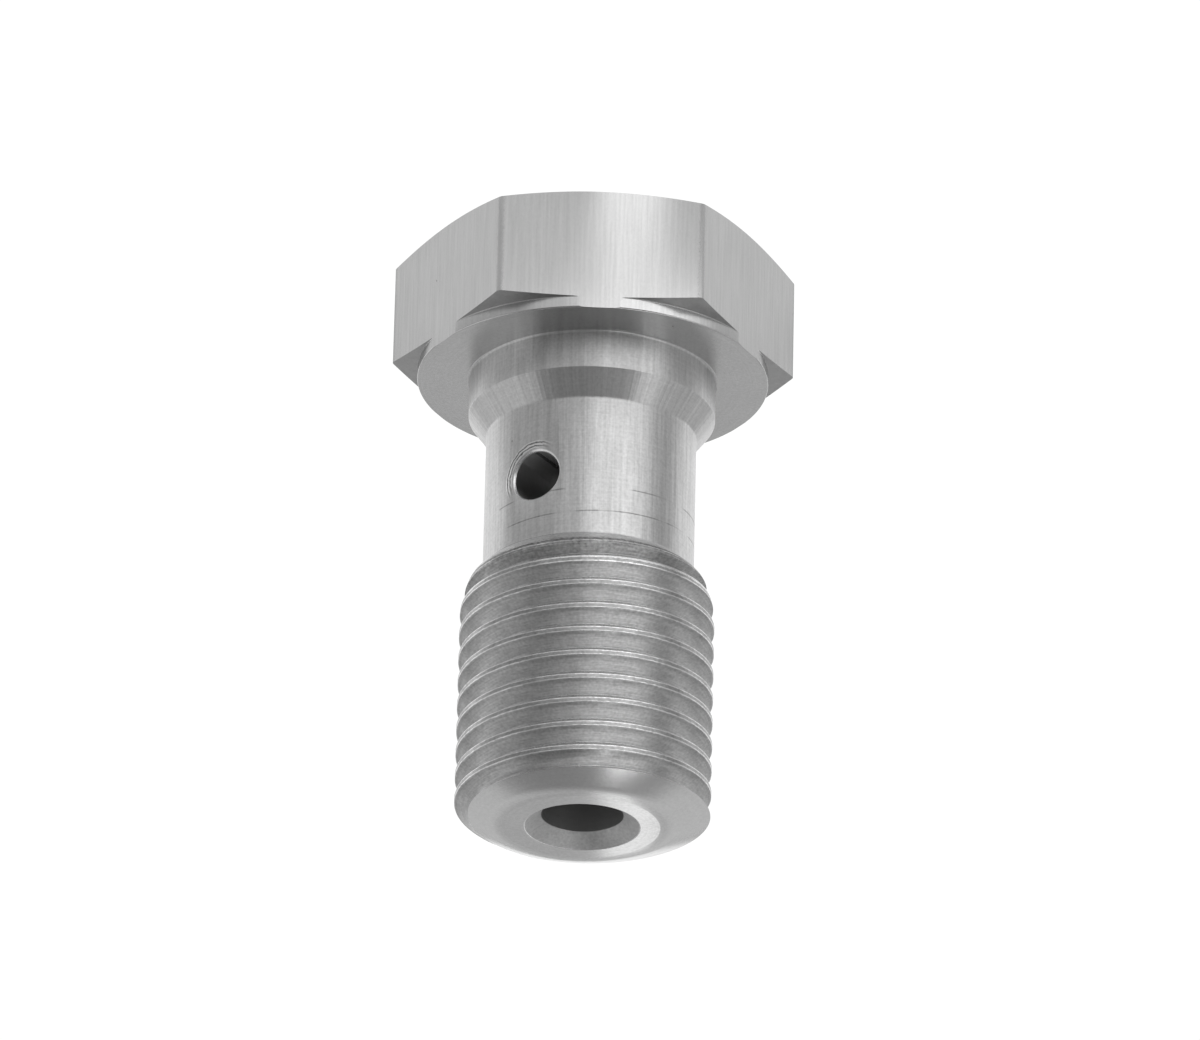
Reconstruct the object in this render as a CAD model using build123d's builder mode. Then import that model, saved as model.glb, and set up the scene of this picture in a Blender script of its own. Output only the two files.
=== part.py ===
"""Banjo bolt: a hollow screw turned in one piece from hexagon bar, standing on its head.

The origin is the centre of the head's flat outer face. +Z runs along the axis to the tip.
Two corners of the hexagon lie on the X axis. All lengths are in millimetres, and heights
named "over the seat" count from the face that seals on the banjo, towards the tip.
"""
from build123d import *
from math import ceil, hypot, radians, sqrt, tan
import os

# Head, from 14 mm hexagon bar
across_flats = 13.8
corner_round = 0.2
head_height = 5.2
outer_face_d = 12.9
outer_chamfer_angle = 18.5
seat_d = 13.9
seat_step = 0.48
underside_angle = 7.0

# Collar that centres the banjo, and the waisted shank
collar_d = 9.75
collar_length = 1.57
collar_root_bevel = 0.1
shoulder_length = 0.97
shoulder_root_round = 0.2
shank_d = 8.3
shank_end_over_seat = 7.88

# Thread M10x1, right-handed
thread_d = 10.0
thread_pitch = 1.0
thread_flank_angle = 30.0
crest_share = 0.2
run_in_steep_length = 0.67
run_in_steep_end_d = 9.36
run_in_length = 1.77
groove_before_shank_end = 0.26

# Tip
length_under_head = 19.1
tip_chamfer_length = 0.6
tip_face_d = 6.9

# Oil ways
bore_d = 3.2
bore_depth = 14.6
drill_point_angle = 118.0
sink_d = 4.6
sink_depth = 0.5
cross_hole_d = 2.0
cross_hole_over_seat = 5.67
cross_hole_azimuth = -56.3
cross_hole_break = 0.1

# Worked out from the sizes above
corner_radius = across_flats / sqrt(3)
seat_z = head_height
tip_z = seat_z + length_under_head
shoulder_end_z = seat_z + collar_length + shoulder_length
shank_end_z = seat_z + shank_end_over_seat
crest_flat = crest_share * thread_pitch
flank_slope = tan(radians(thread_flank_angle))
thread_depth = (thread_pitch - crest_flat) / 2 / flank_slope
groove_reach = 0.5 * crest_flat
groove_start_z = shank_end_z - groove_before_shank_end
groove_turns = ceil((tip_z - groove_start_z) / thread_pitch) + 1


def turned_head_outline():
    """Half section that the lathe leaves of the head: seat, underside and outer chamfer."""
    underside_z = seat_z - seat_step - (corner_radius - seat_d / 2) * tan(radians(underside_angle))
    chamfer_z = (corner_radius - outer_face_d / 2) * tan(radians(outer_chamfer_angle))
    Polyline(
        (0, 0),
        (outer_face_d / 2, 0),
        (corner_radius, chamfer_z),
        (corner_radius, underside_z),
        (seat_d / 2, seat_z - seat_step),
        (seat_d / 2, seat_z),
        (0, seat_z),
        close=True,
    )


def stem_outline():
    """Half section of collar, shoulder, shank and the blank that the thread is cut in."""
    Polyline(
        (0, seat_z / 2),
        (collar_d / 2, seat_z / 2),
        (collar_d / 2, seat_z + collar_length),
        (shank_d / 2, shoulder_end_z),
        (shank_d / 2, shank_end_z),
        (run_in_steep_end_d / 2, shank_end_z + run_in_steep_length),
        (thread_d / 2, shank_end_z + run_in_length),
        (thread_d / 2, tip_z - tip_chamfer_length),
        (tip_face_d / 2, tip_z),
        (0, tip_z),
        close=True,
    )


def groove_outline():
    """Section of the V-shaped thread groove, a little past the crests on its open side."""
    open_r = thread_d / 2 + groove_reach
    half_open = (thread_depth + groove_reach) * flank_slope
    Polyline(
        (thread_d / 2 - thread_depth, 0),
        (open_r, half_open),
        (open_r, -half_open),
        close=True,
    )


def bore_outline():
    """Half section of the blind bore with its countersink and drill point."""
    full_z = tip_z - bore_depth
    point_z = full_z - bore_d / 2 / tan(radians(drill_point_angle / 2))
    Polyline(
        (0, point_z),
        (bore_d / 2, full_z),
        (bore_d / 2, tip_z - sink_depth),
        (sink_d / 2, tip_z),
        (0, tip_z),
        close=True,
    )


def distance_from_axis(edge):
    """Distance of an edge's middle from the bolt's axis."""
    return hypot(edge.center().X, edge.center().Y)


# One turn of the right-hand thread groove, starting over the X axis
with BuildPart() as groove_turn:
    with BuildLine():
        path = Helix(pitch=thread_pitch, height=thread_pitch, radius=thread_d / 2)
    with BuildSketch(Plane(origin=(0, 0, 0), x_dir=(1, 0, 0), z_dir=(0, 1, 0))):
        with BuildLine():
            groove_outline()
        make_face()
    sweep(path=path, is_frenet=True)

with BuildPart() as banjo_bolt:
    # Hexagon bar, turned at both ends of the head
    with BuildSketch():
        hexagon = RegularPolygon(across_flats / 2, 6, major_radius=False)
        fillet(hexagon.vertices(), corner_round)
    extrude(amount=head_height)
    with BuildSketch(Plane.XZ):
        with BuildLine():
            turned_head_outline()
        make_face()
    revolve(axis=Axis.Z, mode=Mode.INTERSECT)

    # Collar, shoulder, shank and thread blank
    with BuildSketch(Plane.XZ):
        with BuildLine():
            stem_outline()
        make_face()
    revolve(axis=Axis.Z)
    circles = edges().filter_by(GeomType.CIRCLE)
    collar_root = circles.filter_by_position(Axis.Z, seat_z, seat_z).sort_by(SortBy.RADIUS)[0]
    chamfer(collar_root, collar_root_bevel)
    circles = edges().filter_by(GeomType.CIRCLE)
    fillet(circles.filter_by_position(Axis.Z, shoulder_end_z, shoulder_end_z), shoulder_root_round)

    # Blind oil bore from the tip
    with BuildSketch(Plane.XZ):
        with BuildLine():
            bore_outline()
        make_face()
    revolve(axis=Axis.Z, mode=Mode.SUBTRACT)

    # Cross hole through both walls of the shank, its rims broken
    with BuildSketch(Plane.XZ.rotated((0, 0, cross_hole_azimuth + 90))):
        with Locations((0, seat_z + cross_hole_over_seat)):
            Circle(cross_hole_d / 2)
    extrude(amount=shank_d, both=True, mode=Mode.SUBTRACT)
    chamfer(edges(Select.LAST).sort_by(distance_from_axis)[-2:], cross_hole_break)

    # Thread groove, wound from the shank to past the tip
    with Locations(*[(0, 0, groove_start_z + turn * thread_pitch) for turn in range(groove_turns)]):
        add(groove_turn.part, mode=Mode.SUBTRACT)

banjo_bolt.part.label = "banjo_bolt"

os.makedirs("parts", exist_ok=True)
export_step(banjo_bolt.part, "parts/banjo_bolt.step")
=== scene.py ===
"""Banjo bolt, standing on its head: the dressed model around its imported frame.

One turned piece replaces the plain solid. Lengths in the classes are millimetres, measured from
the bolt's axis and from the head's outer face, as in the part's source. Meshes are in metres.
"""
import logging
import math
from dataclasses import dataclass, field
from enum import Enum
from functools import partial, reduce
from typing import Callable

import bmesh
import bpy
from mathutils import Matrix, Vector


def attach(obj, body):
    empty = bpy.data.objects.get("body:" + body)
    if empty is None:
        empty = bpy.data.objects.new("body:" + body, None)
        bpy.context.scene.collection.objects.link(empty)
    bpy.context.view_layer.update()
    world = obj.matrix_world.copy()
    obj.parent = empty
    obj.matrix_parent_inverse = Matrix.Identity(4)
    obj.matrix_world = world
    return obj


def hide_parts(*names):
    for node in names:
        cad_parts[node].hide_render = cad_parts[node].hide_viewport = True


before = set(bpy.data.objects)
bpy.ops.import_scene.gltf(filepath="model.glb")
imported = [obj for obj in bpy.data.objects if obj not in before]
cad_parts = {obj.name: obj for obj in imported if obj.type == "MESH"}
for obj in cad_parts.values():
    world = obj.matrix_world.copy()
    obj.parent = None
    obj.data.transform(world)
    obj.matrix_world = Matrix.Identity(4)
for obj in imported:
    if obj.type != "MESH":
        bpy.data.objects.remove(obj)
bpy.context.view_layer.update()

MM = 0.001
AXIS = (0.0, 0.0, 1.0)
SPIN_STEPS = 192
WELD = 0.0004 * MM
MICRON = 1e-6
log = logging.getLogger("banjo_bolt")

# Sizes that several classes share, in millimetres and degrees
SEAT_Z = 5.2
SHANK_D = 8.3
THREAD_D = 10.0
THREAD_PITCH = 1.0
CREST_AT_X_AXIS = 11.32
CROSS_HOLE_Z = 10.87
CROSS_HOLE_AZIMUTH = -56.3
CAMERA_AZIMUTH = -88.172

Piece = bpy.types.Object
Socket = bpy.types.NodeSocket
Shade = tuple[Socket, Socket | float]


class Region(Enum):
    """Parts of the bolt's skin that carry a finish of their own."""

    FLAT = 0
    TURNED = 1
    FACED = 2
    # turned underside between the corners, darkened by painted shade
    ROUGH = 3
    THREAD = 4
    BORE = 5
    SINK = 6


@dataclass(frozen=True)
class Corner:
    """A corner of a half section.

    Args:
        r: Distance from the axis.
        z: Height over the head's outer face.
        rounding: Radius of the arc that replaces the corner, or 0 for a sharp one.
    """

    r: float
    z: float
    rounding: float = 0.0

    def point(self) -> Vector:
        """The corner itself, in the XZ plane."""
        return Vector((self.r, 0.0, self.z))


def camera_turn() -> Matrix:
    """Turns what is given as seen from the front to the photograph's azimuth."""
    return Matrix.Rotation(math.radians(CAMERA_AZIMUTH + 90), 3, "Z")


def rounded(corners: list[Corner], arc_step: float = 15.0) -> list[Vector]:
    """Turns corners into the points of an open outline.

    Args:
        corners: The outline's corners in order. The first and last stay sharp.
        arc_step: Largest turn between two points of an arc, in degrees.

    Returns:
        Points in the XZ plane, in millimetres.
    """
    points = [corners[0].point()]
    for before, here, after in zip(corners, corners[1:], corners[2:]):
        if not here.rounding:
            points.append(here.point())
            continue
        back = (before.point() - here.point()).normalized()
        ahead = (after.point() - here.point()).normalized()
        half = back.angle(ahead) / 2
        centre = here.point() + (back + ahead).normalized() * here.rounding / math.sin(half)
        start = here.point() + back * here.rounding / math.tan(half) - centre
        end = here.point() + ahead * here.rounding / math.tan(half) - centre
        turn = start.angle(end)
        pieces = max(2, math.ceil(math.degrees(turn) / arc_step))
        for step in range(pieces + 1):
            part = turn * step / pieces
            points.append(centre + (start * math.sin(turn - part) + end * math.sin(part)) / math.sin(turn))
    return points + [corners[-1].point()]


class Bench:
    """Mesh work by Blender's own operators, each on one new object."""

    @staticmethod
    def choose(piece: Piece) -> None:
        """Makes a piece the only selected and the active one.

        Args:
            piece: The mesh object to work on.
        """
        bpy.ops.object.select_all(action="DESELECT")
        piece.select_set(True)
        bpy.context.view_layer.objects.active = piece

    @staticmethod
    def edit(piece: Piece) -> None:
        """Opens a piece in edit mode with all of it selected.

        Args:
            piece: The mesh object to work on.
        """
        Bench.choose(piece)
        bpy.ops.object.mode_set(mode="EDIT")
        bpy.ops.mesh.select_mode(type="VERT")
        bpy.ops.mesh.select_all(action="SELECT")

    @staticmethod
    def close() -> None:
        """Goes back to object mode."""
        bpy.ops.object.mode_set(mode="OBJECT")

    @staticmethod
    def wire(name: str, points: list[Vector]) -> Piece:
        """Draws an open outline by extruding one vertex from point to point.

        Args:
            name: Name of the new object.
            points: The outline in millimetres.

        Returns:
            The wire, in metres.
        """
        bpy.ops.object.select_all(action="DESELECT")
        bpy.ops.mesh.primitive_plane_add(size=MM)
        piece = bpy.context.object
        piece.name = name
        Bench.edit(piece)
        bpy.ops.mesh.merge(type="CENTER")
        bpy.ops.transform.translate(value=points[0] * MM)
        for here, ahead in zip(points, points[1:]):
            bpy.ops.mesh.extrude_vertices_move(TRANSFORM_OT_translate={"value": (ahead - here) * MM})
        Bench.close()
        return piece

    @staticmethod
    def weld(piece: Piece) -> None:
        """Merges doubles and points all faces outwards.

        Args:
            piece: A closed mesh.
        """
        Bench.edit(piece)
        bpy.ops.mesh.remove_doubles(threshold=WELD)
        bpy.ops.mesh.normals_make_consistent(inside=False)
        Bench.close()

    @staticmethod
    def turn(name: str, corners: list[Corner]) -> Piece:
        """Spins a half section about the Z axis, as on a lathe.

        Args:
            name: Name of the new object.
            corners: The half section, from the axis back to the axis.

        Returns:
            The closed turned form.
        """
        piece = Bench.wire(name, rounded(corners))
        Bench.edit(piece)
        bpy.ops.mesh.spin(steps=SPIN_STEPS, angle=math.tau, center=(0, 0, 0), axis=AXIS)
        Bench.close()
        Bench.weld(piece)
        return piece

    @staticmethod
    def apply(piece: Piece, kind: str, **settings: object) -> None:
        """Adds a modifier and applies it.

        Args:
            piece: The mesh object.
            kind: Type of the modifier.
            settings: Values of its properties.
        """
        Bench.choose(piece)
        modifier = piece.modifiers.new(kind.lower(), kind)
        for setting, value in settings.items():
            setattr(modifier, setting, value)
        bpy.ops.object.modifier_apply(modifier=modifier.name)

    @staticmethod
    def combine(piece: Piece, tool: Piece, operation: str) -> None:
        """Joins, intersects or cuts a piece with a tool body, which is used up.

        Args:
            piece: The closed mesh that is kept.
            tool: The closed mesh that works on it.
            operation: UNION, INTERSECT or DIFFERENCE.
        """
        Bench.apply(piece, "BOOLEAN", object=tool, operation=operation, solver="MANIFOLD")
        bpy.data.objects.remove(tool)

    @staticmethod
    def pick(piece: Piece, kind: str, wanted: Callable[[object], bool]) -> None:
        """Selects the vertices, edges or faces that a test wants, in edit mode.

        Args:
            piece: The object in edit mode.
            kind: verts, edges or faces.
            wanted: The test of one element.
        """
        bpy.ops.mesh.select_all(action="DESELECT")
        bpy.ops.mesh.select_mode(type={"verts": "VERT", "edges": "EDGE", "faces": "FACE"}[kind])
        mesh = bmesh.from_edit_mesh(piece.data)
        for element in getattr(mesh, kind):
            element.select_set(wanted(element))
        mesh.select_flush_mode()
        bmesh.update_edit_mesh(piece.data)


@dataclass
class Head:
    """Hexagon head, 14 mm spanner size, turned at both ends.

    Sizes are millimetres and angles degrees. The overhang is how far the turned form reaches past
    the bar's sharp corners.
    """

    across_flats: float = 13.8
    corner_round: float = 0.2
    height: float = SEAT_Z
    outer_face_d: float = 12.9
    outer_face_round: float = 0.15
    outer_chamfer_angle: float = 18.5
    seat_d: float = 13.9
    seat_step: float = 0.48
    seat_round: float = 0.06
    step_root_round: float = 0.05
    underside_angle: float = 7.0
    overhang: float = 0.5

    @property
    def corner_radius(self) -> float:
        """Distance of a sharp corner from the axis."""
        return self.across_flats / math.sqrt(3)

    def flat_turns(self) -> list[float]:
        """Directions of the six flats round the axis, in radians."""
        return [math.radians(30 + 60 * number) for number in range(6)]

    def bar(self) -> Piece:
        """Cuts the hexagon bar and rounds its long edges.

        Returns:
            A prism with two corners on the X axis.
        """
        bpy.ops.object.select_all(action="DESELECT")
        bpy.ops.mesh.primitive_cylinder_add(
            vertices=6,
            radius=self.corner_radius * MM,
            depth=self.height * MM,
            location=(0, 0, self.height / 2 * MM),
            rotation=(0, 0, math.radians(30)),
        )
        bar = bpy.context.object
        bpy.ops.object.transform_apply(location=True, rotation=True, scale=True)
        Bench.edit(bar)
        Bench.pick(bar, "edges", lambda edge: abs(edge.verts[0].co.z - edge.verts[1].co.z) > MM)
        offset = self.corner_round / math.tan(math.radians(60))
        bpy.ops.mesh.bevel(offset=offset * MM, segments=5, affect="EDGES")
        Bench.close()
        return bar

    def turned_form(self) -> Piece:
        """Makes what the lathe leaves: seat, underside and outer chamfer.

        Returns:
            A closed turned form.
        """
        reach = self.corner_radius + self.overhang
        chamfer_z = (reach - self.outer_face_d / 2) * math.tan(math.radians(self.outer_chamfer_angle))
        drop = (reach - self.seat_d / 2) * math.tan(math.radians(self.underside_angle))
        shelf_z = self.height - self.seat_step
        return Bench.turn(
            "head_form",
            [
                Corner(0, 0),
                Corner(self.outer_face_d / 2, 0, self.outer_face_round),
                Corner(reach, chamfer_z),
                Corner(reach, shelf_z - drop),
                Corner(self.seat_d / 2, shelf_z, self.step_root_round),
                Corner(self.seat_d / 2, self.height, self.seat_round),
                Corner(0, self.height),
            ],
        )

    def build(self) -> Piece:
        """Makes the finished head.

        Returns:
            One closed mesh.
        """
        head = self.bar()
        head.name = "head"
        Bench.combine(head, self.turned_form(), "INTERSECT")
        return head


@dataclass
class Stem:
    """Collar, shoulder, waisted shank and thread blank with the oil bore, in millimetres.

    The blank stands a little proud of the crests, so that the threaded rod alone shapes them. The
    collar's root fillet takes nearly all of its corner, which leaves a sliver of each side.
    """

    seat_z: float = SEAT_Z
    collar_d: float = 9.75
    collar_length: float = 1.57
    collar_root_round: float = 0.12
    collar_root_share: float = 0.98
    collar_edge_round: float = 0.06
    shoulder_length: float = 0.97
    shoulder_root_round: float = 0.2
    shank_d: float = SHANK_D
    shank_end_z: float = 13.6
    shank_end_round: float = 0.12
    run_in_mid_d: float = 9.28
    run_in_mid: float = 0.42
    run_in_mid_round: float = 0.7
    run_in_length: float = 1.4
    run_in_end_round: float = 3.5
    thread_d: float = THREAD_D
    tip_z: float = 24.3
    tip_chamfer_length: float = 0.6
    tip_face_d: float = 6.9
    tip_round: float = 2.2
    bore_d: float = 3.2
    bore_depth: float = 14.6
    drill_point_angle: float = 118.0
    sink_d: float = 4.5
    sink_depth: float = 0.5
    sink_edge_round: float = 0.12
    bore_edge_round: float = 0.04
    blank_allowance: float = 0.004

    def outline(self) -> list[Corner]:
        """Gives the half section, from the head's inside round the outside and down the bore.

        Returns:
            Corners from the axis back to the axis.
        """
        inside_z = self.seat_z / 2
        root_r = self.collar_d / 2 + self.collar_root_round
        shoulder_z = self.seat_z + self.collar_length
        shank_z = shoulder_z + self.shoulder_length
        blank_r = self.thread_d / 2 + self.blank_allowance
        full_z = self.tip_z - self.bore_depth
        point_z = full_z - self.bore_d / 2 / math.tan(math.radians(self.drill_point_angle / 2))
        return [
            Corner(0, inside_z),
            Corner(root_r, inside_z),
            Corner(root_r, self.seat_z),
            Corner(self.collar_d / 2, self.seat_z, self.collar_root_round * self.collar_root_share),
            Corner(self.collar_d / 2, shoulder_z, self.collar_edge_round),
            Corner(self.shank_d / 2, shank_z, self.shoulder_root_round),
            Corner(self.shank_d / 2, self.shank_end_z, self.shank_end_round),
            Corner(self.run_in_mid_d / 2, self.shank_end_z + self.run_in_mid, self.run_in_mid_round),
            Corner(blank_r, self.shank_end_z + self.run_in_length, self.run_in_end_round),
            Corner(blank_r, self.tip_z - self.tip_chamfer_length),
            Corner(self.tip_face_d / 2, self.tip_z, self.tip_round),
            Corner(self.sink_d / 2, self.tip_z, self.sink_edge_round),
            Corner(self.bore_d / 2, self.tip_z - self.sink_depth, self.bore_edge_round),
            Corner(self.bore_d / 2, full_z),
            Corner(0, point_z),
        ]

    def build(self) -> Piece:
        """Makes the blank, without thread and cross hole.

        Returns:
            One closed mesh.
        """
        return Bench.turn("stem", self.outline())


@dataclass
class Thread:
    """Right-hand 60 degree thread with pitch 1 mm, as the rod that the blank is cut to.

    Below start_z the rod is widened to cover_d, so that head and shank lie inside it, and goes on to
    the overrun below the head. Sizes are millimetres.
    """

    pitch: float = THREAD_PITCH
    crest_d: float = THREAD_D
    crest_flat: float = 0.2
    flank_angle: float = 30.0
    crest_round: float = 0.035
    root_round: float = 0.04
    crest_at_x_axis: float = CREST_AT_X_AXIS
    start_z: float = 12.5
    end_z: float = 24.8
    cover_d: float = 24.0
    overrun: float = 1.0

    def outline(self) -> list[Vector]:
        """Gives the section over one pitch, from the middle of one crest to the next.

        Returns:
            Points in the XZ plane.
        """
        crest_r = self.crest_d / 2
        low = self.crest_at_x_axis
        high = low + self.pitch
        depth = (self.pitch - self.crest_flat) / 2 / math.tan(math.radians(self.flank_angle))
        return rounded(
            [
                Corner(crest_r, low),
                Corner(crest_r, low + self.crest_flat / 2, self.crest_round),
                Corner(crest_r - depth, low + self.pitch / 2, self.root_round),
                Corner(crest_r, high - self.crest_flat / 2, self.crest_round),
                Corner(crest_r, high),
            ],
            arc_step=20.0,
        )

    def build(self) -> Piece:
        """Winds the threaded rod and widens its lower end to cover head and shank.

        Returns:
            A closed mesh to intersect the blank with.
        """
        rod = Bench.wire("thread", self.outline())
        turns = math.ceil((self.end_z - self.crest_at_x_axis) / self.pitch)
        Bench.apply(
            rod,
            "SCREW",
            axis="Z",
            angle=math.tau,
            screw_offset=self.pitch * MM,
            iterations=turns,
            steps=SPIN_STEPS,
            render_steps=SPIN_STEPS,
            use_merge_vertices=True,
            merge_threshold=WELD,
        )
        Bench.edit(rod)
        bpy.ops.mesh.remove_doubles(threshold=WELD)
        for height, upward in ((self.start_z, -1), (self.end_z, 1)):
            bpy.ops.mesh.select_all(action="SELECT")
            bpy.ops.mesh.bisect(
                plane_co=(0, 0, height * MM),
                plane_no=(0, 0, upward),
                use_fill=True,
                clear_outer=True,
                threshold=WELD,
            )
        start = self.start_z * MM
        Bench.pick(rod, "faces", lambda face: all(abs(v.co.z - start) < WELD for v in face.verts))
        wider = self.cover_d / self.crest_d
        bpy.ops.mesh.extrude_region_move(TRANSFORM_OT_translate={"value": (0, 0, 0)})
        bpy.ops.transform.resize(value=(wider, wider, 1), center_override=(0, 0, start))
        drop = start + self.overrun * MM
        bpy.ops.mesh.extrude_region_move(TRANSFORM_OT_translate={"value": (0, 0, -drop)})
        Bench.close()
        Bench.weld(rod)
        return rod


@dataclass
class CrossHole:
    """Drill for the cross hole, with a mouth that flares as the hole's broken edge does.

    The rim pairs how much wider the drill's radius is with the depth under the shank's surface. The
    overrun is how far the drill stands out of the shank. Sizes are millimetres.
    """

    diameter: float = 2.0
    height: float = CROSS_HOLE_Z
    azimuth: float = CROSS_HOLE_AZIMUTH
    shank_d: float = SHANK_D
    rim: tuple[tuple[float, float], ...] = ((0.0, 0.13), (0.03, 0.07), (0.08, 0.025), (0.14, -0.003))
    overrun: float = 1.0
    facets: int = 72

    def build(self) -> Piece:
        """Makes the drill along the X axis and turns it to its azimuth.

        Returns:
            A closed mesh to cut the shank with.
        """
        core_r, shank_r = self.diameter / 2, self.shank_d / 2
        reach = shank_r + self.overrun
        lower = [(core_r + widen, drop - shank_r) for widen, drop in reversed(self.rim)]
        upper = [(core_r + widen, shank_r - drop) for widen, drop in self.rim]
        levels = [(lower[0][0], -reach), *lower, *upper, (upper[-1][0], reach)]
        bpy.ops.object.select_all(action="DESELECT")
        bpy.ops.mesh.primitive_circle_add(vertices=self.facets, radius=levels[0][0] * MM, fill_type="NGON")
        drill = bpy.context.object
        drill.name = "cross_drill"
        Bench.edit(drill)
        bpy.ops.transform.translate(value=(0, 0, -reach * MM))
        for (radius, z), (next_radius, next_z) in zip(levels, levels[1:]):
            bpy.ops.mesh.extrude_region_move(TRANSFORM_OT_translate={"value": (0, 0, (next_z - z) * MM)})
            factor = next_radius / radius
            bpy.ops.transform.resize(value=(factor, factor, 1), center_override=(0, 0, next_z * MM))
        Bench.close()
        self.follow_shank(drill, reach)
        drill.data.transform(
            Matrix.Translation((0, 0, self.height * MM))
            @ Matrix.Rotation(math.radians(self.azimuth), 4, "Z")
            @ Matrix.Rotation(math.radians(90), 4, "Y")
        )
        Bench.weld(drill)
        return drill

    def follow_shank(self, drill: Piece, reach: float) -> None:
        """Lowers the rim's vertices on to the round shank.

        Args:
            drill: The drill, still along the Z axis.
            reach: Height of its ends, which stay flat.
        """
        shank_r = self.shank_d / 2
        for vertex in drill.data.vertices:
            height = vertex.co.z / MM
            if abs(height) > reach - self.overrun / 2:
                continue
            side = vertex.co.y / MM
            sink = shank_r - math.sqrt(shank_r**2 - side**2)
            vertex.co.z = (height - math.copysign(sink, height)) * MM


@dataclass(frozen=True)
class Viewpoint:
    """The photograph's camera, above the tip and upside down, as the picture shows the head up."""

    distance: float = 416.83
    elevation: float = 24.944
    roll: float = 1.342
    aim_x: float = -0.418
    aim_z: float = 11.131
    lens: float = 317.74

    def place(self) -> None:
        """Makes the camera and gives it to the scene."""
        turn = camera_turn()
        lift, roll = math.radians(self.elevation), math.radians(self.roll)
        right = turn @ Vector((1, 0, 0))
        up = turn @ Vector((0, math.sin(lift), math.cos(lift)))
        back = turn @ Vector((0, -math.cos(lift), math.sin(lift)))
        aim = turn @ Vector((self.aim_x, 0, self.aim_z))
        columns = (
            -right * math.cos(roll) - up * math.sin(roll),
            right * math.sin(roll) - up * math.cos(roll),
            back,
        )
        camera = bpy.data.objects.new("camera", bpy.data.cameras.new("camera"))
        camera.data.lens = self.lens
        camera.data.sensor_width = 36
        camera.data.clip_start = 0.01
        camera.data.clip_end = 20
        camera.matrix_world = Matrix.LocRotScale(
            (aim + back * self.distance) * MM, Matrix(columns).transposed(), None
        )
        bpy.context.scene.collection.objects.link(camera)
        bpy.context.scene.camera = camera


class Nodes:
    """A node tree, filled by short calls."""

    def __init__(self, tree: bpy.types.NodeTree) -> None:
        """Empties the tree.

        Args:
            tree: The node tree to fill.
        """
        self.tree = tree
        tree.nodes.clear()

    def add(self, kind: str, inputs: dict | None = None, **settings: object) -> bpy.types.Node:
        """Adds a node, sets it and links or fills its inputs.

        Args:
            kind: The node's type.
            inputs: Sockets or values by input name or number.
            settings: Values of the node's properties.

        Returns:
            The new node.
        """
        node = self.tree.nodes.new(kind)
        for setting, value in settings.items():
            setattr(node, setting, value)
        for key, value in (inputs or {}).items():
            if isinstance(value, Socket):
                self.tree.links.new(value, node.inputs[key])
            else:
                node.inputs[key].default_value = value
        return node

    def math(self, operation: str, *values: object) -> Socket:
        """Adds a Math node.

        Args:
            operation: Its operation.
            values: Sockets or numbers.

        Returns:
            Its result.
        """
        return self.add("ShaderNodeMath", dict(enumerate(values)), operation=operation).outputs[0]

    def ramp(self, value: object, start: float, end: float, low: float, high: float) -> Socket:
        """Maps a range smoothly on another.

        Args:
            value: The socket to map.
            start: Value that gives low.
            end: Value that gives high.
            low: Result at start and before.
            high: Result at end and after.

        Returns:
            The mapped value.
        """
        inputs = {0: value, 1: start, 2: end, 3: low, 4: high}
        return self.add("ShaderNodeMapRange", inputs, interpolation_type="SMOOTHSTEP").outputs[0]

    def product(self, *values: object) -> Socket:
        """Multiplies sockets and numbers."""
        return reduce(partial(self.math, "MULTIPLY"), values)

    def total(self, *values: object) -> Socket:
        """Adds sockets and numbers."""
        return reduce(partial(self.math, "ADD"), values)

    def minus(self, first: object, second: object) -> Socket:
        """Takes the second value from the first."""
        return self.math("SUBTRACT", first, second)

    def gap(self, first: object, second: object) -> Socket:
        """Gives the distance between two values."""
        return self.math("ABSOLUTE", self.minus(first, second))

    def vector(self, operation: str, *values: object, **named: object) -> Socket:
        """Adds a Vector Math node.

        Args:
            operation: Its operation.
            values: Sockets or vectors, in order.
            named: Inputs by name, such as Scale.

        Returns:
            Its vector, or its value for an operation that measures.
        """
        node = self.add("ShaderNodeVectorMath", dict(enumerate(values)) | named, operation=operation)
        measures = operation in ("LENGTH", "DISTANCE", "DOT_PRODUCT")
        return node.outputs["Value" if measures else "Vector"]

    def dot(self, place: Socket, direction: tuple[float, float, float]) -> Socket:
        """Gives the part of a vector along a direction."""
        return self.vector("DOT_PRODUCT", place, direction)


@dataclass(frozen=True)
class SoftBox:
    """A soft lamp that doesn't show itself. Places are metres from the bolt's foot.

    Args:
        place: Its distance to the photograph's right, towards the camera and up.
        aim: The place that it points at, given the same way.
        width: Its size across the picture, in metres.
        length: Its other size, in metres.
        level: Brightness of its surface, where 1 is white.
    """

    place: tuple[float, float, float]
    aim: tuple[float, float, float]
    width: float
    length: float
    level: float

    def put(self, place: tuple[float, float, float]) -> Vector:
        """Turns a place as given here into one of the scene."""
        right, ahead, up = place
        return camera_turn() @ Vector((-right, -ahead, up))

    def build(self) -> None:
        """Makes the lamp."""
        data = bpy.data.lights.new("soft_box", "AREA")
        data.shape = "RECTANGLE"
        data.size = self.width
        data.size_y = self.length
        data.energy = self.level * math.pi * self.width * self.length
        lamp = bpy.data.objects.new("soft_box", data)
        place = self.put(self.place)
        turn = (self.put(self.aim) - place).to_track_quat("-Z", "Y")
        lamp.matrix_world = Matrix.LocRotScale(place, turn, None)
        lamp.visible_camera = False
        bpy.context.scene.collection.objects.link(lamp)


LAMPS = (
    SoftBox(place=(0.132, -0.08, 0.6), aim=(0.132, -0.079, 0.0), width=0.12, length=0.40, level=1.7),
    SoftBox(place=(0.0021, -0.011, 0.031), aim=(0.0021, 0.0, 0.0245), width=0.0026, length=0.009, level=0.8),
)


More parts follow.
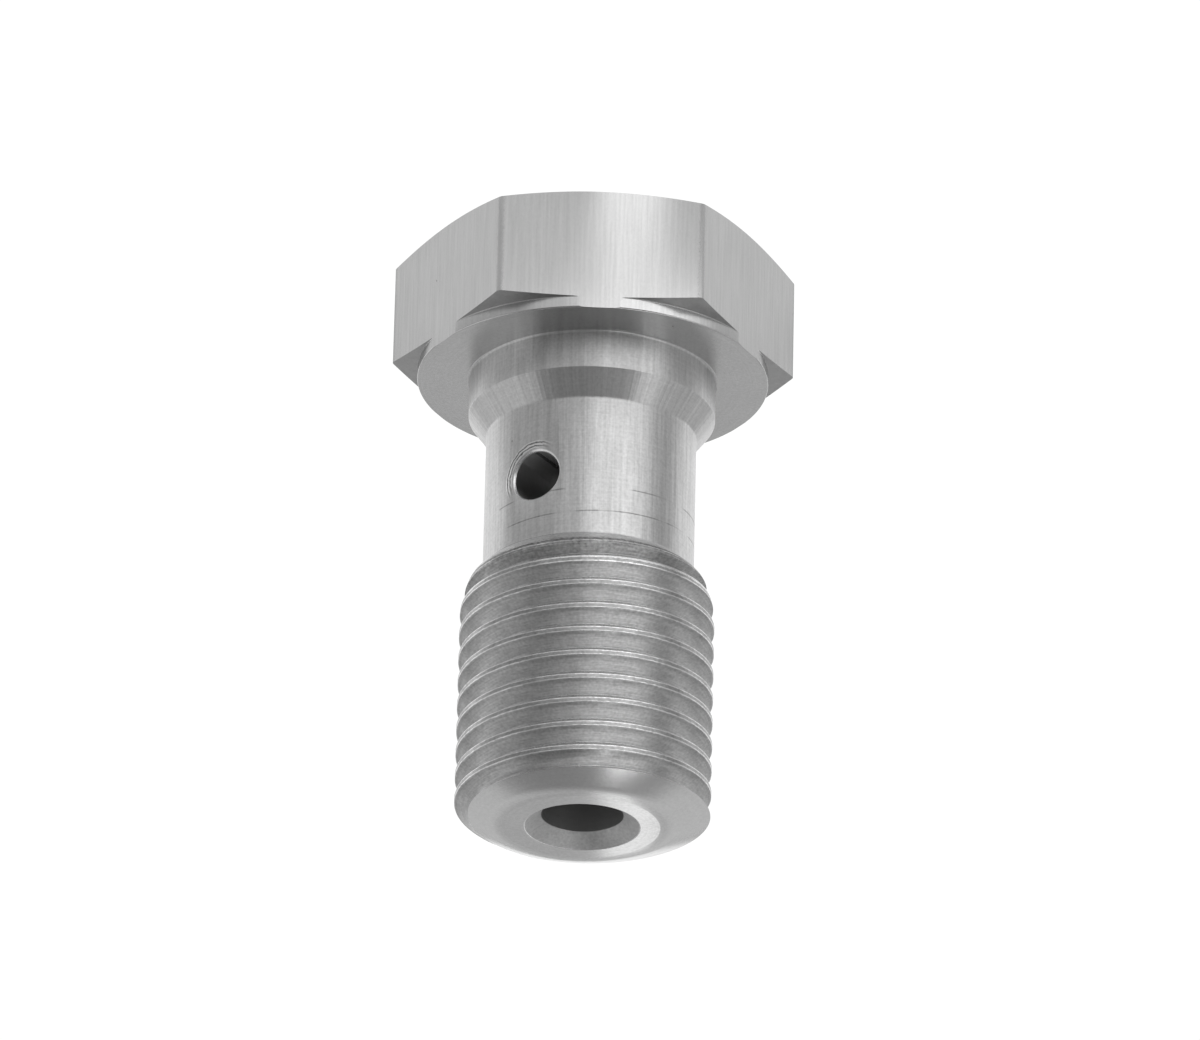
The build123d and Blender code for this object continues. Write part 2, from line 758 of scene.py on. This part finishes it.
@dataclass(frozen=True)
class Card:
    """A bright card of the studio's surround, with soft edges.

    Args:
        azimuth: Degrees to the photograph's right of the camera, as seen from the bolt.
        width: Its width in degrees.
        level: Brightness that it adds, where 1 is white.
        low: Elevation of its lower edge in degrees, or None for no such edge.
        high: Elevation of its upper edge in degrees, or None for no such edge.
        edge: Width of its soft upright edges in degrees.
        lift_edge: Width of its soft lower and upper edges in degrees.
    """

    azimuth: float
    width: float
    level: float
    low: float | None = None
    high: float | None = None
    edge: float = 14.0
    lift_edge: float = 14.0


@dataclass(frozen=True)
class Surround:
    """Plain studio round the bolt: a dim tent with paler sides, over a floor with paler parts.

    The strip is a bright line on the floor, in millimetres, which the head's front flat mirrors. The
    bolt mirrors the floor's cards as they stand round the point at head_middle over the floor. The
    floor's radius is metres. Its white level makes it white to the camera, shadow and all.
    """

    dim: float = 0.22
    sky: tuple[Card, ...] = (
        Card(180, 84, 0.33, 2, 46),
        Card(95, 70, 0.30, 0, 60),
        Card(-95, 70, 0.45, 0, 60, edge=24),
        Card(59, 24, 0.85, 22, 52),
    )
    ground_dim: float = 0.40
    ground: tuple[Card, ...] = (
        Card(30, 58, 1.45, low=-8.4, edge=40, lift_edge=1.5),
        Card(-14, 44, 0.35, low=-8.4, edge=30, lift_edge=1.5),
        Card(180, 160, 0.80, low=-8.4, edge=40, lift_edge=1.5),
        Card(0, 210, 0.42, high=-8.4, edge=20, lift_edge=1.5),
        Card(180, 150, 0.27, high=-8.4, edge=20, lift_edge=1.5),
    )
    front_flat_azimuth: float = -90.0
    strip_aside: float = 0.95
    strip_core: float = 0.5
    strip_edge: float = 1.6
    strip_level: float = 0.68
    strip_start: float = 6.0
    strip_end: float = 17.6
    strip_fade: float = 1.0
    head_middle: float = 2.6
    floor_radius: float = 1.5
    floor_grey: float = 0.85
    floor_glow_share: float = 0.85
    floor_white: float = 1.16

    def glow(self, nodes: Nodes, direction: Socket, dim: float, cards: tuple[Card, ...]) -> Socket:
        """Gives the surround's brightness in a direction.

        Args:
            nodes: The tree to add to.
            direction: A vector from the bolt's axis.
            dim: Brightness between the cards.
            cards: The cards to add.

        Returns:
            The brightness.
        """
        direction = nodes.vector("NORMALIZE", direction)
        x, y, z = nodes.add("ShaderNodeSeparateXYZ", {0: direction}).outputs
        angle = nodes.math("ARCTAN2", y, x)
        lift = nodes.math("ARCSINE", z)
        total = dim
        for card in cards:
            centre = math.radians(CAMERA_AZIMUTH - card.azimuth)
            turned = nodes.math("WRAP", nodes.minus(angle, centre), math.pi, -math.pi)
            half, edge = math.radians(card.width / 2), math.radians(card.edge / 2)
            share = nodes.ramp(nodes.math("ABSOLUTE", turned), half - edge, half + edge, card.level, 0.0)
            soft = math.radians(card.lift_edge / 2)
            for limit, under, over in ((card.low, 0.0, 1.0), (card.high, 1.0, 0.0)):
                if limit is not None:
                    level = math.radians(limit)
                    share = nodes.product(share, nodes.ramp(lift, level - soft, level + soft, under, over))
            total = nodes.total(total, share)
        return total

    def strip(self, nodes: Nodes, place: Socket) -> Socket:
        """Gives the brightness of a strip of floor that runs away from the head's front flat.

        Args:
            nodes: The tree to add to.
            place: A place on the floor.

        Returns:
            The brightness that it adds.
        """
        place = nodes.vector("SCALE", place, Scale=1 / MM)
        ahead_turn = math.radians(2 * self.front_flat_azimuth - CAMERA_AZIMUTH)
        ahead = nodes.dot(place, (math.cos(ahead_turn), math.sin(ahead_turn), 0.0))
        aside = nodes.dot(place, (math.sin(ahead_turn), -math.cos(ahead_turn), 0.0))
        away = nodes.gap(aside, self.strip_aside)
        line = nodes.ramp(away, self.strip_core, self.strip_core + self.strip_edge, self.strip_level, 0.0)
        start = nodes.ramp(ahead, self.strip_start - self.strip_fade, self.strip_start, 0.0, 1.0)
        end = nodes.ramp(ahead, self.strip_end, self.strip_end + self.strip_fade, 1.0, 0.0)
        return nodes.product(line, start, end)

    def world(self) -> None:
        """Makes the world: white to the camera, the tent to the bolt."""
        world = bpy.data.worlds.new("studio")
        world.use_nodes = True
        bpy.context.scene.world = world
        nodes = Nodes(world.node_tree)
        direction = nodes.add("ShaderNodeTexCoord").outputs["Generated"]
        seen = nodes.add("ShaderNodeLightPath").outputs["Is Camera Ray"]
        tent = self.glow(nodes, direction, self.dim, self.sky)
        strength = nodes.add("ShaderNodeMix", {0: seen, 2: tent, 3: 1.0}).outputs[0]
        light = nodes.add("ShaderNodeBackground", {"Color": (1, 1, 1, 1), "Strength": strength})
        nodes.add("ShaderNodeOutputWorld", {"Surface": light.outputs[0]})

    def floor(self) -> None:
        """Makes the pale floor, which shows white and keeps a part of the bolt's shadow."""
        bpy.ops.object.select_all(action="DESELECT")
        bpy.ops.mesh.primitive_circle_add(vertices=96, radius=self.floor_radius, fill_type="NGON")
        floor = bpy.context.object
        floor.name = "floor"
        material = bpy.data.materials.new("floor")
        material.use_nodes = True
        nodes = Nodes(material.node_tree)
        place = nodes.add("ShaderNodeTexCoord").outputs["Object"]
        path = nodes.add("ShaderNodeLightPath").outputs
        strip = self.strip(nodes, place)
        place = nodes.vector("SUBTRACT", place, (0.0, 0.0, self.head_middle * MM))
        tent = nodes.total(self.glow(nodes, place, self.ground_dim, self.ground), strip)
        level = nodes.add("ShaderNodeMix", {0: path["Is Camera Ray"], 2: tent, 3: self.floor_white})
        shown = nodes.math("MAXIMUM", path["Is Camera Ray"], path["Is Glossy Ray"])
        glow = nodes.add("ShaderNodeEmission", {"Color": (1, 1, 1, 1), "Strength": level.outputs[0]})
        matt = nodes.add("ShaderNodeBsdfDiffuse", {"Color": (*[self.floor_grey] * 3, 1)})
        share = nodes.product(shown, self.floor_glow_share)
        mixed = nodes.add("ShaderNodeMixShader", {0: share, 1: matt.outputs[0], 2: glow.outputs[0]})
        nodes.add("ShaderNodeOutputMaterial", {"Surface": mixed.outputs[0]})
        floor.data.materials.append(material)


@dataclass(frozen=True)
class Mark:
    """A small nick or pit in the skin.

    Args:
        azimuth: Its place round the bolt, in degrees.
        r: Distance from the axis.
        z: Height over the head's outer face.
        size: Its radius.
        core: Share of the radius that is marked in full.
    """

    azimuth: float
    r: float
    z: float
    size: float
    core: float = 0.3

    def place(self) -> tuple[float, float, float]:
        """Its centre in millimetres."""
        angle = math.radians(self.azimuth)
        return self.r * math.cos(angle), self.r * math.sin(angle), self.z


class Skin:
    """Coordinates on the bolt's skin, in millimetres, and the patterns that follow them."""

    def __init__(self, nodes: Nodes) -> None:
        """Reads the piece's own coordinates.

        Args:
            nodes: The material's tree.
        """
        self.nodes = nodes
        place = nodes.add("ShaderNodeTexCoord").outputs["Object"]
        self.place = nodes.vector("SCALE", place, Scale=1 / MM)
        x, y, self.z = nodes.add("ShaderNodeSeparateXYZ", {0: self.place}).outputs
        level = nodes.add("ShaderNodeCombineXYZ", {0: x, 1: y}).outputs[0]
        self.r = nodes.vector("LENGTH", level)
        self.outward = nodes.vector("NORMALIZE", level)
        self.turn = nodes.math("DIVIDE", nodes.math("ARCTAN2", y, x), math.tau)

    def tangent(self) -> Socket:
        """Gives the direction round the axis, as the shader's tangent.

        Returns:
            A direction in the scene.
        """
        x, y, _ = self.nodes.add("ShaderNodeSeparateXYZ", {0: self.outward}).outputs
        round_axis = self.nodes.add("ShaderNodeCombineXYZ", {0: self.nodes.product(y, -1.0), 1: x})
        return self.nodes.add(
            "ShaderNodeVectorTransform",
            {0: round_axis.outputs[0]},
            vector_type="VECTOR",
            convert_from="OBJECT",
            convert_to="WORLD",
        ).outputs[0]

    def noise(self, where: Socket, scale: float) -> Socket:
        """Gives noise from about -0.2 to 0.2, with two octaves of finer noise."""
        inputs = {"Vector": where, "Scale": scale, "Detail": 2.0}
        return self.nodes.minus(self.nodes.add("ShaderNodeTexNoise", inputs).outputs[0], 0.5)

    def streaks(self, around: float, along: float, across: float = 0.0) -> Socket:
        """Gives noise that is stretched along one direction of the skin.

        Args:
            around: Features for each radian round the axis.
            along: Features for each millimetre of height.
            across: Features for each millimetre away from the axis.

        Returns:
            Noise from about -0.2 to 0.2.
        """
        nodes = self.nodes
        wide = nodes.vector("SCALE", self.outward, Scale=around)
        height = nodes.total(nodes.product(self.z, along), nodes.product(self.r, across))
        lift = nodes.add("ShaderNodeCombineXYZ", {2: height}).outputs[0]
        return self.noise(nodes.vector("ADD", wide, lift), 1.0)

    def grit(self, scale: float) -> Socket:
        """Gives noise without a direction, with this many features for each millimetre."""
        return self.noise(self.place, scale)

    def wound(self, pitch: float, offset: float) -> Socket:
        """Gives the height over a right-hand helix that crosses the X axis at an offset."""
        return self.nodes.minus(self.nodes.minus(self.z, self.nodes.product(self.turn, pitch)), offset)

    def spread(self, share: Socket, tint: float, depth: float) -> Shade:
        """Gives a share of a change of grey and of a height in micrometres."""
        return self.nodes.product(share, tint), self.nodes.product(share, depth)

    def near(self, marks: tuple[Mark, ...]) -> Socket:
        """Gives 1 in each mark and 0 away from them.

        Args:
            marks: The marks.

        Returns:
            The mask.
        """
        total = 0.0
        for mark in marks:
            away = self.nodes.vector("DISTANCE", self.place, mark.place())
            spot = self.nodes.ramp(away, mark.size * mark.core, mark.size, 1.0, 0.0)
            total = self.nodes.math("MAXIMUM", total, spot)
        return total


@dataclass(frozen=True)
class Grain:
    """A layer of lines or streaks in the skin, as stretched noise.

    Args:
        around: Features for each radian round the axis.
        along: Features for each millimetre of height.
        across: Features for each millimetre away from the axis.
        tint: Change of grey from its darkest to its lightest features.
        depth: Relief in micrometres.
    """

    around: float
    along: float
    across: float
    tint: float
    depth: float

    def shade(self, skin: Skin) -> Shade:
        """Gives the layer's change of grey and its height in micrometres."""
        return skin.spread(skin.streaks(self.around, self.along, self.across), self.tint, self.depth)


@dataclass(frozen=True)
class Grit:
    """A layer of fine or cloudy noise without a direction.

    Args:
        scale: Features for each millimetre.
        tint: Change of grey.
        depth: Relief in micrometres.
    """

    scale: float
    tint: float
    depth: float

    def shade(self, skin: Skin) -> Shade:
        """Gives the layer's change of grey and its height in micrometres."""
        return skin.spread(skin.grit(self.scale), self.tint, self.depth)


@dataclass(frozen=True)
class HelixScratches:
    """Broken scratches that the thread's tool left round the shank, one pitch apart."""

    pitch: float = THREAD_PITCH
    offset: float = 0.9
    low: float = 10.9
    high: float = 13.3
    low_fade: float = 0.3
    high_fade: float = 0.2
    half_width: float = 0.045
    patches_around: float = 1.6
    patches_along: float = 0.7
    patch_start: float = -0.08
    patch_full: float = 0.02
    tint: float = -0.28
    depth: float = -2.0

    def shade(self, skin: Skin) -> Shade:
        """Gives the scratches' change of grey and their relief.

        Args:
            skin: Coordinates on the bolt's skin.

        Returns:
            The change of grey, and the height in micrometres.
        """
        nodes = skin.nodes
        away = nodes.math("PINGPONG", skin.wound(self.pitch, self.offset), self.pitch / 2)
        line = nodes.ramp(away, 0.0, self.half_width, 1.0, 0.0)
        patches = skin.streaks(self.patches_around, self.patches_along)
        broken = nodes.ramp(patches, self.patch_start, self.patch_full, 0.0, 1.0)
        above = nodes.ramp(skin.z, self.low, self.low + self.low_fade, 0.0, 1.0)
        below = nodes.ramp(skin.z, self.high - self.high_fade, self.high, 1.0, 0.0)
        return skin.spread(nodes.product(line, above, below, broken), self.tint, self.depth)


@dataclass(frozen=True)
class ChatterArcsAndRimHighlight:
    """Faint arcs that the drill left beside the cross hole, on the side towards the head.

    The arcs come up from sector_start to sector_full, towards that side. The rim is a painted
    highlight: a bright ring round the edge of the hole.
    """

    azimuth: float = CROSS_HOLE_AZIMUTH
    height: float = CROSS_HOLE_Z
    inner: float = 1.12
    inner_fade: float = 0.04
    outer: float = 1.5
    outer_fade: float = 0.12
    spacing: float = 0.14
    stray: float = 0.12
    stray_scale: float = 5.0
    sector_start: float = 0.35
    sector_full: float = 1.2
    tint: float = 0.4
    depth: float = 3.0
    # The rim fields paint a bright highlight ring round the hole's edge.
    rim_r: float = 1.05
    rim_width: float = 0.05
    rim_highlight_tint: float = 0.3

    def shade(self, skin: Skin) -> Shade:
        """Gives the arcs' change of grey with the rim's painted highlight, and their relief.

        Args:
            skin: Coordinates on the bolt's skin.

        Returns:
            The change of grey, and the height in micrometres.
        """
        nodes = skin.nodes
        angle = math.radians(self.azimuth)
        side = (-math.sin(angle), math.cos(angle), 0.0)
        front = (math.cos(angle), math.sin(angle), 0.0)
        across = nodes.dot(skin.place, side)
        toward = nodes.dot(skin.place, front)
        up = nodes.minus(skin.z, self.height)
        reach = nodes.math("SQRT", nodes.total(nodes.product(across, across), nodes.product(up, up)))
        stray = nodes.product(skin.grit(self.stray_scale), self.stray)
        wave = nodes.math("SINE", nodes.product(nodes.total(reach, stray), math.tau / self.spacing))
        starts = nodes.ramp(reach, self.inner, self.inner + self.inner_fade, 0.0, 1.0)
        ends = nodes.ramp(reach, self.outer - self.outer_fade, self.outer, 1.0, 0.0)
        sector = nodes.ramp(nodes.minus(across, up), self.sector_start, self.sector_full, 0.0, 1.0)
        near_side = nodes.ramp(toward, 0.0, 1.0, 0.0, 1.0)
        wave = nodes.product(wave, starts, ends, sector, near_side)
        # painted highlight: a bright ring at the hole's edge
        rim = nodes.ramp(nodes.gap(reach, self.rim_r), 0.0, self.rim_width, self.rim_highlight_tint, 0.0)
        tint, height = skin.spread(wave, self.tint, self.depth)
        return nodes.total(tint, rim), height


@dataclass(frozen=True)
class Pits:
    """Small pits and nicks at places of their own."""

    marks: tuple[Mark, ...]
    tint: float = -0.25
    depth: float = -6.0

    def shade(self, skin: Skin) -> Shade:
        """Gives the pits' change of grey and their height in micrometres."""
        return skin.spread(skin.near(self.marks), self.tint, self.depth)


@dataclass(frozen=True)
class CrestHighlightsAndShade:
    """Painted light and shade on the thread: highlights on both crest edges, broken where torn,
    painted shade on the crest's middle, a painted shadow line beside the edge towards the tip,
    and painted light on both flanks, most on the flank towards the head.

    Places and widths are millimetres along the axis, but under_away and under_width count in widths
    of a bright line.
    """

    pitch: float = THREAD_PITCH
    crest_at_x_axis: float = CREST_AT_X_AXIS
    edge_at: float = 0.086
    line: float = 0.036
    under_away: float = 1.8
    under_width: float = 1.6
    wander: float = 0.05
    wander_around: float = 22.0
    wander_along: float = 1.0
    torn_around: float = 26.0
    torn_along: float = 3.0
    torn_start: float = -0.12
    torn_end: float = 0.08
    torn_share: float = 0.45
    # painted highlights, shade, shadow and glint, as changes of grey
    edge_highlight_tint: float = 0.46
    middle_shade_tint: float = -0.10
    under_shadow_tint: float = -0.07
    root_light_tint: float = 0.06
    head_side_glint_tint: float = 0.34

    def shade(self, skin: Skin) -> Shade:
        """Gives the painted light and shade across a crest and its flanks, and no height.

        Args:
            skin: Coordinates on the bolt's skin.

        Returns:
            The change of grey, and 0.
        """
        nodes = skin.nodes
        half = self.pitch / 2
        across = nodes.math("WRAP", skin.wound(self.pitch, self.crest_at_x_axis), half, -half)
        stray = nodes.product(skin.streaks(self.wander_around, self.wander_along), self.wander)
        away = nodes.math("ABSOLUTE", nodes.total(across, stray))
        tears = skin.streaks(self.torn_around, self.torn_along)
        torn = nodes.ramp(tears, self.torn_start, self.torn_end, self.torn_share, 1.0)
        # painted highlights on both crest edges, broken where torn
        line = nodes.ramp(nodes.gap(away, self.edge_at), 0.0, self.line, self.edge_highlight_tint, 0.0)
        edges = nodes.product(line, torn)
        # painted shade on the crest's middle
        middle = nodes.ramp(away, self.edge_at - self.line, self.edge_at, self.middle_shade_tint, 0.0)
        # painted shadow: a dark line beside the edge towards the tip
        from_under = nodes.gap(across, self.edge_at + self.under_away * self.line)
        under = nodes.ramp(from_under, 0.0, self.under_width * self.line, self.under_shadow_tint, 0.0)
        # painted light on the flank towards the tip, growing towards the root
        root = nodes.ramp(across, self.edge_at * 2, half, 0.0, self.root_light_tint)
        # painted glint on the flank towards the head
        lower = nodes.ramp(across, -self.edge_at * 2, -self.edge_at, self.head_side_glint_tint, 0.0)
        return nodes.total(edges, middle, under, root, lower), 0.0


@dataclass(frozen=True)
class TipChamferLight:
    """Painted light: a paler tip chamfer, standing in for light that falls there."""

    low: float = 22.0
    start_r: float = 3.1
    full_r: float = 3.6
    # painted light: how much paler the chamfer gets
    tint: float = 0.17

    def shade(self, skin: Skin) -> Shade:
        """Gives the chamfer's painted light, and no height.

        Args:
            skin: Coordinates on the bolt's skin.

        Returns:
            The change of grey, and 0.
        """
        nodes = skin.nodes
        # painted light on the chamfer, paler outwards
        outside = nodes.ramp(skin.r, self.start_r, self.full_r, 0.0, self.tint)
        return nodes.product(outside, nodes.math("GREATER_THAN", skin.z, self.low)), 0.0


@dataclass(frozen=True)
class DarkTornStart:
    """The torn first turn of the thread, darker than the rest."""

    start: float = 14.45
    end: float = 15.05
    tint: float = -0.13
    grit_scale: float = 7.0
    grit_tint: float = 0.35
    grit_depth: float = 4.0

    def shade(self, skin: Skin) -> Shade:
        """Gives the first turn's change of grey and its relief.

        Args:
            skin: Coordinates on the bolt's skin.

        Returns:
            The change of grey, and the height in micrometres.
        """
        nodes = skin.nodes
        share = nodes.ramp(skin.z, self.start, self.end, 1.0, 0.0)
        swing = nodes.product(skin.grit(self.grit_scale), share)
        tint, height = skin.spread(swing, self.grit_tint, self.grit_depth)
        return nodes.total(nodes.product(share, self.tint), tint), height


@dataclass(frozen=True)
class CornerShadeLines:
    """Painted shade: dark, ragged lines along the bar's rounded corners."""

    start_r: float = 7.865
    full_r: float = 7.925
    ragged: float = 0.08
    ragged_scale: float = 9.0
    # painted shade: how much darker the corners get
    tint: float = -0.13

    def shade(self, skin: Skin) -> Shade:
        """Gives the painted shade's change of grey, and no height.

        Args:
            skin: Coordinates on the bolt's skin.

        Returns:
            The change of grey, and 0.
        """
        nodes = skin.nodes
        stray = nodes.product(skin.grit(self.ragged_scale), self.ragged)
        return nodes.ramp(nodes.total(skin.r, stray), self.start_r, self.full_r, 0.0, self.tint), 0.0


class Lay(Enum):
    """Direction of the tool's lines. The value turns the highlight, which spreads across them."""

    ROUND = 0.25
    ALONG = 0.0


@dataclass(frozen=True)
class SteelFinish:
    """Bare satin steel as one tool left it.

    Args:
        name: The material's name.
        lay: Direction of the lines.
        grey: Mean colour.
        roughness: Mean roughness.
        anisotropy: How far the highlight is drawn out.
        layers: Lines, grit and marks, which add up.
        darkest: Lower limit of the colour.
        palest: Upper limit of the colour.
        polish: How much smoother a spot gets for each unit that it is paler.
    """

    name: str
    lay: Lay
    grey: float
    roughness: float
    anisotropy: float
    layers: tuple
    darkest: float = 0.02
    palest: float = 0.9
    polish: float = 0.25

    def material(self) -> bpy.types.Material:
        """Makes the material.

        Returns:
            A metal with procedural colour, roughness and relief.
        """
        material = bpy.data.materials.new(self.name)
        material.use_nodes = True
        nodes = Nodes(material.node_tree)
        skin = Skin(nodes)
        tint, height = self.grey, 0.0
        for layer in self.layers:
            more_tint, more_height = layer.shade(skin)
            tint = nodes.total(tint, more_tint)
            height = nodes.total(height, more_height)
        tint = nodes.math("MINIMUM", nodes.math("MAXIMUM", tint, self.darkest), self.palest)
        rough = nodes.minus(self.roughness + self.grey * self.polish, nodes.product(tint, self.polish))
        colour = nodes.add("ShaderNodeCombineColor", {0: tint, 1: tint, 2: tint}).outputs[0]
        relief = nodes.add("ShaderNodeBump", {"Height": height, "Distance": MICRON, "Strength": 1.0})
        steel = nodes.add(
            "ShaderNodeBsdfPrincipled",
            {
                "Base Color": colour,
                "Metallic": 1.0,
                "Roughness": rough,
                "Anisotropic": self.anisotropy,
                "Anisotropic Rotation": self.lay.value,
                "Tangent": skin.tangent(),
                "Normal": relief.outputs[0],
            },
        )
        nodes.add("ShaderNodeOutputMaterial", {"Surface": steel.outputs[0]})
        return material


FINISHES = {
    Region.FLAT: SteelFinish(
        "drawn_flats",
        Lay.ALONG,
        grey=0.6,
        roughness=0.25,
        anisotropy=0.2,
        layers=(
            Grit(0.5, 0.05, 0.0),
            Grain(70.0, 0.35, 0.0, 0.16, 0.9),
            Grit(14.0, 0.08, 0.5),
            # painted shade along the bar's corners
            CornerShadeLines(),
            Pits((Mark(-136.0, 6.95, 1.7, 0.07), Mark(-24.0, 6.95, 2.3, 0.06))),
        ),
    ),
    Region.TURNED: SteelFinish(
        "turned_steel",
        Lay.ROUND,
        grey=0.6,
        roughness=0.34,
        anisotropy=0.85,
        layers=(
            Grit(0.7, 0.06, 0.0),
            Grain(2.0, 15.0, -19.0, 0.10, 0.5),
            Grain(34.0, 0.35, 0.3, 0.28, 8.0),
            Grit(9.0, 0.22, 1.5),
            HelixScratches(),
            # drill's chatter arcs, with a painted highlight on the hole's rim
            ChatterArcsAndRimHighlight(),
            Pits((Mark(-40.0, 4.15, 9.1, 0.06),)),
        ),
    ),
    Region.FACED: SteelFinish(
        "faced_steel",
        Lay.ROUND,
        grey=0.6,
        roughness=0.26,
        anisotropy=0.3,
        layers=(
            Grit(0.7, 0.06, 0.0),
            Grain(1.0, 0.0, 16.0, 0.08, 0.4),
            Grit(9.0, 0.16, 0.8),
            # painted light on the tip's chamfer
            TipChamferLight(),
            Pits((Mark(-118.0, 6.2, 5.2, 0.06),)),
        ),
    ),
    Region.ROUGH: SteelFinish(
        "underside_painted_shade",
        Lay.ROUND,
        # painted shade: this grey is darker than the other steel's 0.6, for the shade on the underside
        # between the corners
        grey=0.41,
        roughness=0.32,
        anisotropy=0.3,
        layers=(Grit(3.0, 0.10, 0.0), Grit(14.0, 0.14, 1.2)),
    ),
    Region.THREAD: SteelFinish(
        "cut_thread",
        Lay.ROUND,
        grey=0.51,
        roughness=0.36,
        anisotropy=0.8,
        layers=(
            Grit(0.8, 0.06, 0.0),
            Grain(5.0, 0.0, 18.0, 0.32, 1.4),
            Grit(9.0, 0.34, 2.2),
            DarkTornStart(),
            # painted highlights and shade on the crests and flanks
            CrestHighlightsAndShade(),
            Pits((Mark(-49.2, 4.97, 15.05, 0.09), Mark(-43.2, 4.97, 18.1, 0.08))),
        ),
    ),
    Region.SINK: SteelFinish(
        "countersunk_steel",
        Lay.ROUND,
        grey=0.54,
        roughness=0.55,
        anisotropy=0.2,
        layers=(Grit(3.0, 0.10, 0.0), Grit(9.0, 0.26, 2.0)),
    ),
    Region.BORE: SteelFinish(
        "oiled_bore",
        Lay.ROUND,
        grey=0.46,
        roughness=0.5,
        anisotropy=0.4,
        layers=(Grit(3.0, 0.05, 0.0), Grain(4.0, 9.0, 9.0, 0.06, 1.0)),
    ),
}


@dataclass
class BanjoBolt:
    """The whole bolt: head, stem, thread and oil ways in one turned piece.

    Args:
        head: The head.
        stem: Collar, shank and thread blank.
        thread: The threaded rod that the blank is cut to.
        cross_hole: The cross hole's drill.
        smooth_angle: Largest angle in degrees between faces that are shaded as one.
        near: Smaller tolerance for a face's place, in millimetres.
        clear: Larger tolerance for a face's place, in millimetres.
        upright: Upward part of the normal that a flat's faces stay under.
        sloping: Upward part of the normal that the underside's faces pass.
        shallow: Upward part of the normal that the tip chamfer's faces pass.
        level: Upward part of the normal that the faced planes pass.
        plane: Upward part of the normal that planes with flat shading pass.
        aligned: Part of a flat face's normal that runs straight out of its flat.
    """

    head: Head = field(default_factory=Head)
    stem: Stem = field(default_factory=Stem)
    thread: Thread = field(default_factory=Thread)
    cross_hole: CrossHole = field(default_factory=CrossHole)
    smooth_angle: float = 28.0
    near: float = 0.01
    clear: float = 0.1
    upright: float = 0.3
    sloping: float = 0.5
    shallow: float = 0.9
    level: float = 0.999
    plane: float = 0.99999
    aligned: float = 0.9999

    def build(self) -> Piece:
        """Makes the mesh and puts it in the solid's place.

        Returns:
            The finished piece.
        """
        bolt = self.stem.build()
        bolt.name = bolt.data.name = "turned_bolt"
        Bench.combine(bolt, self.head.build(), "UNION")
        Bench.combine(bolt, self.thread.build(), "INTERSECT")
        Bench.combine(bolt, self.cross_hole.build(), "DIFFERENCE")
        self.shade(bolt)
        self.dress(bolt)
        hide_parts("banjo_bolt")
        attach(bolt, "root")
        return bolt

    def on_flat(self, place: Vector, normal: Vector) -> bool:
        """Tells whether a face lies in one of the bar's six flats.

        Args:
            place: The face's centre in millimetres.
            normal: Its normal.

        Returns:
            True on a flat.
        """
        sides = (Vector((math.cos(turn), math.sin(turn), 0)) for turn in self.head.flat_turns())
        half = self.head.across_flats / 2
        near = self.near / 2
        return any(normal.dot(side) > self.aligned and abs(place.dot(side) - half) < near for side in sides)

    def shade(self, bolt: Piece) -> None:
        """Shades curved faces smooth and plane ones flat, so that each plane mirrors as one.

        Args:
            bolt: The finished mesh.
        """

        def in_plane(face: bmesh.types.BMFace) -> bool:
            """Tells whether a face is level or lies in a flat."""
            level = abs(face.normal.z) > self.plane
            return level or self.on_flat(face.calc_center_median() / MM, face.normal)

        bpy.ops.object.shade_smooth_by_angle(angle=math.radians(self.smooth_angle))
        Bench.edit(bolt)
        Bench.pick(bolt, "faces", in_plane)
        bpy.ops.mesh.faces_shade_flat()
        Bench.close()
        Bench.apply(bolt, "WEIGHTED_NORMAL", keep_sharp=True, weight=50)

    def region(self, face: bpy.types.MeshPolygon) -> Region:
        """Tells which finish a face carries.

        Args:
            face: A face of the finished mesh.

        Returns:
            Its region.
        """
        x, y, z = face.center / MM
        r = math.hypot(x, y)
        angle = math.radians(self.cross_hole.azimuth)
        side = -x * math.sin(angle) + y * math.cos(angle)
        from_drill = math.hypot(side, z - self.cross_hole.height)
        if abs(face.normal.z) > self.level:
            return Region.FACED
        if r < self.stem.bore_d / 2 + 2 * self.near:
            return Region.BORE
        if from_drill < self.cross_hole.diameter / 2 + self.near:
            return Region.BORE
        if r < self.stem.sink_d / 2:
            return Region.SINK
        on_side = abs(face.normal.z) < self.upright and r > self.head.across_flats / 2 - self.clear
        if z < self.stem.seat_z and on_side:
            return Region.FLAT
        on_underside = face.normal.z > self.sloping and r > self.head.seat_d / 2
        if z < self.stem.seat_z - self.clear and on_underside:
            return Region.ROUGH
        if z < self.stem.seat_z + self.near:
            return Region.FACED
        if z > self.stem.tip_z - self.stem.tip_chamfer_length and face.normal.z > self.shallow:
            return Region.FACED
        if z > self.stem.shank_end_z:
            return Region.THREAD
        return Region.TURNED

    def dress(self, bolt: Piece) -> None:
        """Gives each region of the skin its finish.

        Args:
            bolt: The finished mesh.
        """
        bolt.data.materials.clear()
        for region in Region:
            bolt.data.materials.append(FINISHES[region].material())
        for face in bolt.data.polygons:
            face.material_index = self.region(face).value


def main() -> None:
    """Builds, dresses, lights and reports the bolt."""
    scene = bpy.context.scene
    scene.view_settings.view_transform = "Standard"
    bolt = BanjoBolt().build()
    log.info("turned_bolt: %d faces", len(bolt.data.polygons))
    surround = Surround()
    surround.world()
    surround.floor()
    for lamp in LAMPS:
        lamp.build()
    Viewpoint().place()


if __name__ == "__main__":
    logging.basicConfig(level=logging.INFO, format="%(name)s: %(message)s")
    main()
